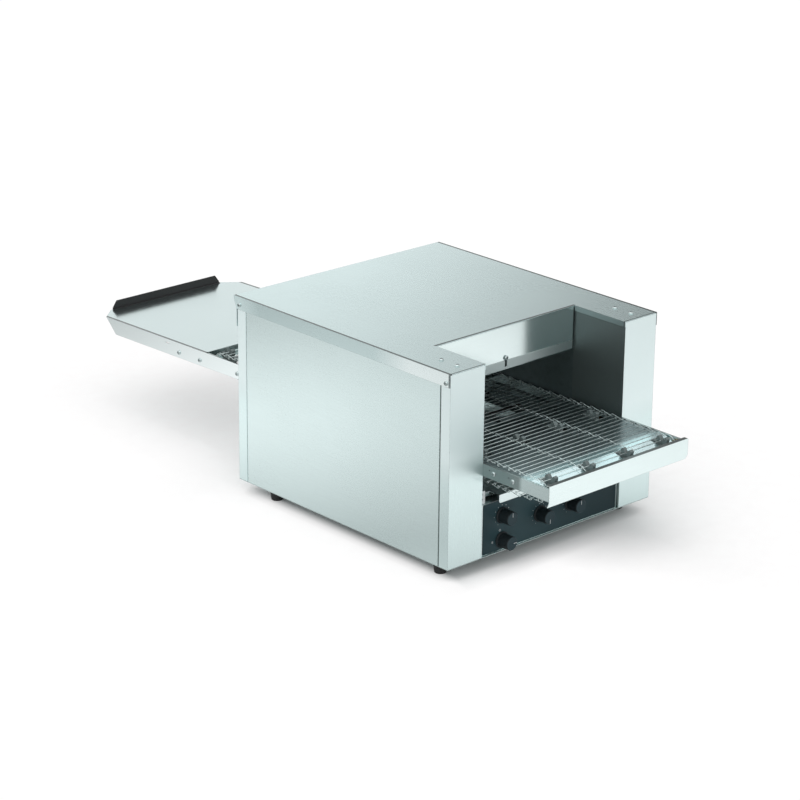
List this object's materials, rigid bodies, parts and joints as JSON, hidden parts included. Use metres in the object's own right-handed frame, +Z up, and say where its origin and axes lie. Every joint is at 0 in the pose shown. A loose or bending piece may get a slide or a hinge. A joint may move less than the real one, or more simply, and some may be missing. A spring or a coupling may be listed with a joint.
{
  "type": "conveyor oven",
  "caption": "Countertop conveyor oven: steel housing with an open tunnel, wire belt on toothed sprockets, adjustable mouth baffles, control knobs and a sloping exit tray.",
  "frame": {"origin": "centre of the footprint on the surface the feet stand on", "axes": "+Z up, +Y along the belt from the entry to the exit tray, +X to the right seen from the control panel"},
  "size_m": [0.566, 1.3888, 0.425],
  "materials": {
    "stainless": "brushed",
    "screw_steel": "satin",
    "tunnel_steel": "heat darkened",
    "belt_wire": "drawn wire",
    "shaft_steel": "turned",
    "sprocket_iron": "blackened",
    "black_rubber": "matte",
    "bushing_bronze": "satin",
    "heater_sheath": "heat darkened",
    "lagging": "fibrous",
    "switch_body": "matte",
    "motor_paint": "satin",
    "black_paint": "satin",
    "label_film": "matte",
    "knob_black": "satin",
    "fan_plastic": "matte",
    "board_green": "gloss"
  },
  "bodies": {
    "oven": {"base_pan": "stainless", "feet": "black_rubber", "front_left_column": "stainless", "front_right_column": "stainless", "left_side_panel": "stainless", "right_side_panel": "stainless", "rear_panel": "stainless", "top_cover": "stainless", "cover_screws": "screw_steel", "entry_header": "stainless", "left_tunnel_wall": "tunnel_steel", "right_tunnel_wall": "tunnel_steel", "roof_sheet": "tunnel_steel", "roof_lagging": "lagging", "deck_plate": "stainless", "upper_heaters": "heater_sheath", "lower_heaters": "heater_sheath", "limit_thermostat": "switch_body", "left_rail": "stainless", "right_rail": "stainless", "front_guard": "stainless", "load_plate": "stainless", "belt_supports": "tunnel_steel", "rail_screws": "screw_steel", "shaft_bushings": "bushing_bronze", "belt_upper_run": "belt_wire", "belt_return_run": "belt_wire", "drive_belt": "black_rubber", "gearmotor": "motor_paint", "motor_stand": "stainless", "exit_tray": "stainless", "tray_stop": "black_paint", "tray_screws": "screw_steel", "crumb_runners": "stainless", "control_panel": "stainless", "control_label": "label_film", "panel_brackets": "stainless", "control_switches": "switch_body", "fan_frame": "fan_plastic", "speed_board": "board_green", "terminal_block": "switch_body", "cord_gland": "fan_plastic"},
    "entry_baffle_plate": {"entry_baffle": "stainless", "entry_baffle_screw": "screw_steel"},
    "exit_baffle_plate": {"exit_baffle": "stainless", "exit_baffle_screw": "screw_steel"},
    "drive_axle": {"drive_shaft": "shaft_steel", "drive_sprockets": "sprocket_iron", "drive_pulley": "shaft_steel"},
    "front_axle": {"front_shaft": "shaft_steel", "front_sprockets": "sprocket_iron"},
    "rear_axle": {"rear_shaft": "shaft_steel", "rear_sprockets": "sprocket_iron"},
    "motor_output": {"motor_pulley": "shaft_steel"},
    "fan": {"fan_rotor": "fan_plastic"},
    "crumb_drawer": {"crumb_tray": "stainless"},
    "upper_heat_dial": {"upper_heat_knob": "knob_black"},
    "lower_heat_dial": {"lower_heat_knob": "knob_black"},
    "belt_speed_dial": {"belt_speed_knob": "knob_black"},
    "power_dial": {"power_knob": "knob_black"}
  },
  "joints": [
    {"name": "drive_spin", "type": "hinge", "parent": "oven", "child": "drive_axle", "pos_m": [0, -0.477, 0.20833], "axis": [-1, 0, 0], "continuous": true},
    {"name": "front_spin", "type": "hinge", "parent": "oven", "child": "front_axle", "pos_m": [0, -0.66277, 0.20833], "axis": [-1, 0, 0], "continuous": true},
    {"name": "rear_spin", "type": "hinge", "parent": "oven", "child": "rear_axle", "pos_m": [0, 0.28037, 0.20833], "axis": [-1, 0, 0], "continuous": true},
    {"name": "motor_spin", "type": "hinge", "parent": "oven", "child": "motor_output", "pos_m": [0.206, -0.477, 0.09433], "axis": [-1, 0, 0], "continuous": true},
    {"name": "fan_spin", "type": "hinge", "parent": "oven", "child": "fan", "pos_m": [-0.11, 0.08353, 0.0792], "axis": [0, 1, 0], "continuous": true},
    {"name": "upper_heat_turn", "type": "hinge", "parent": "oven", "child": "upper_heat_dial", "pos_m": [-0.132, -0.52567, 0.103], "axis": [0, 1, 0], "range_deg": [-150, 150]},
    {"name": "lower_heat_turn", "type": "hinge", "parent": "oven", "child": "lower_heat_dial", "pos_m": [-0.03, -0.52567, 0.078], "axis": [0, 1, 0], "range_deg": [0, 300]},
    {"name": "belt_speed_turn", "type": "hinge", "parent": "oven", "child": "belt_speed_dial", "pos_m": [0.056, -0.52567, 0.078], "axis": [0, 1, 0], "range_deg": [-150, 150]},
    {"name": "power_turn", "type": "hinge", "parent": "oven", "child": "power_dial", "pos_m": [-0.132, -0.52567, 0.052], "axis": [0, 1, 0], "range_deg": [-180, 0]},
    {"name": "entry_baffle_drop", "type": "slide", "parent": "oven", "child": "entry_baffle_plate", "axis": [0, 0, -1], "range_m": [0, 0.015]},
    {"name": "exit_baffle_drop", "type": "slide", "parent": "oven", "child": "exit_baffle_plate", "axis": [0, 0, -1], "range_m": [0, 0.015]},
    {"name": "crumb_pull", "type": "slide", "parent": "oven", "child": "crumb_drawer", "axis": [0, -1, 0], "range_m": [0, 0.3]}
  ],
  "couplings": [
    {"joint": "front_spin", "follows": "drive_spin", "ratio": 1},
    {"joint": "rear_spin", "follows": "drive_spin", "ratio": 1},
    {"joint": "motor_spin", "follows": "drive_spin", "ratio": 1}
  ]
}
